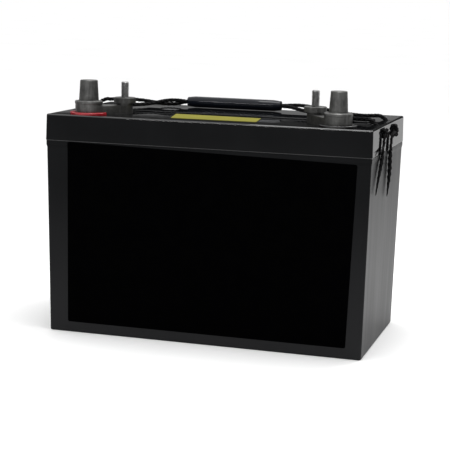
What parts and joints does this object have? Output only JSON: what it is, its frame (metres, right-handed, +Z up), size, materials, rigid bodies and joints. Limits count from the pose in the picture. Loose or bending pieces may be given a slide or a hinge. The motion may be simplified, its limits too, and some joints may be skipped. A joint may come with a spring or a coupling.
{
  "type": "deep cycle battery",
  "caption": "Sealed rectangular deep cycle battery with lead posts, threaded studs and a rope carrying handle lying on its lid",
  "frame": {"origin": "centre of the base, on the surface the battery stands on", "axes": "+X along the length towards the negative post, +Y from the labelled front towards the back where the handle lies, +Z up"},
  "size_m": [0.3431, 0.173, 0.2548],
  "materials": {
    "case_black": "satin moulded",
    "cover_black": "glossy moulded",
    "vent_black": "glossy moulded",
    "rubber_black": "matt",
    "positive_paste": "matt pasted lead dioxide",
    "negative_paste": "matt pasted spongy lead",
    "glass_mat": "matt felted glass fibre",
    "lead": "dull cast lead",
    "stud_steel": "plated thread",
    "ring_red": "glossy",
    "ring_black": "glossy",
    "label_black": "satin film",
    "label_yellow": "satin film",
    "grip_plastic": "glossy",
    "rope_black": "braided"
  },
  "bodies": {
    "battery": {"jar": "case_black", "cover": "cover_black", "vent_cover": "vent_black", "valve_cap_1": "rubber_black", "valve_cap_2": "rubber_black", "valve_cap_3": "rubber_black", "valve_cap_4": "rubber_black", "valve_cap_5": "rubber_black", "valve_cap_6": "rubber_black", "positive_plates_1": "positive_paste", "negative_plates_1": "negative_paste", "positive_plates_2": "positive_paste", "negative_plates_2": "negative_paste", "positive_plates_3": "positive_paste", "negative_plates_3": "negative_paste", "positive_plates_4": "positive_paste", "negative_plates_4": "negative_paste", "positive_plates_5": "positive_paste", "negative_plates_5": "negative_paste", "positive_plates_6": "positive_paste", "negative_plates_6": "negative_paste", "glass_mats_1": "glass_mat", "glass_mats_2": "glass_mat", "glass_mats_3": "glass_mat", "glass_mats_4": "glass_mat", "glass_mats_5": "glass_mat", "glass_mats_6": "glass_mat", "positive_strap_1": "lead", "negative_strap_1": "lead", "positive_strap_2": "lead", "negative_strap_2": "lead", "positive_strap_3": "lead", "negative_strap_3": "lead", "positive_strap_4": "lead", "negative_strap_4": "lead", "positive_strap_5": "lead", "negative_strap_5": "lead", "positive_strap_6": "lead", "negative_strap_6": "lead", "positive_terminal": "lead", "positive_stud": "stud_steel", "positive_polarity_ring": "ring_red", "positive_seal": "rubber_black", "negative_terminal": "lead", "negative_stud": "stud_steel", "negative_polarity_ring": "ring_black", "negative_seal": "rubber_black", "front_label": "label_black", "top_label": "label_yellow", "rope_right_back": "rope_black", "rope_right_front": "rope_black", "rope_left_back": "rope_black", "rope_left_front": "rope_black", "rope_left_loop": "rope_black", "rope_front_tail": "rope_black", "rope_back_tail": "rope_black", "rope_front_knot": "rope_black", "rope_back_knot": "rope_black"},
    "handle": {"rope_in_grip": "rope_black"},
    "grip": {"grip": "grip_plastic"}
  },
  "joints": [
    {"name": "handle_swing", "type": "hinge", "parent": "battery", "child": "handle", "pos_m": [0, 0, 0.221], "axis": [1, 0, 0], "range_deg": [0, 110], "deforming": ["rope_right_back", "rope_right_front", "rope_left_back", "rope_left_front"]},
    {"name": "grip_spin", "type": "hinge", "parent": "handle", "child": "grip", "pos_m": [-0.0135, 0.063, 0.2271], "axis": [1, 0, 0], "continuous": true}
  ]
}
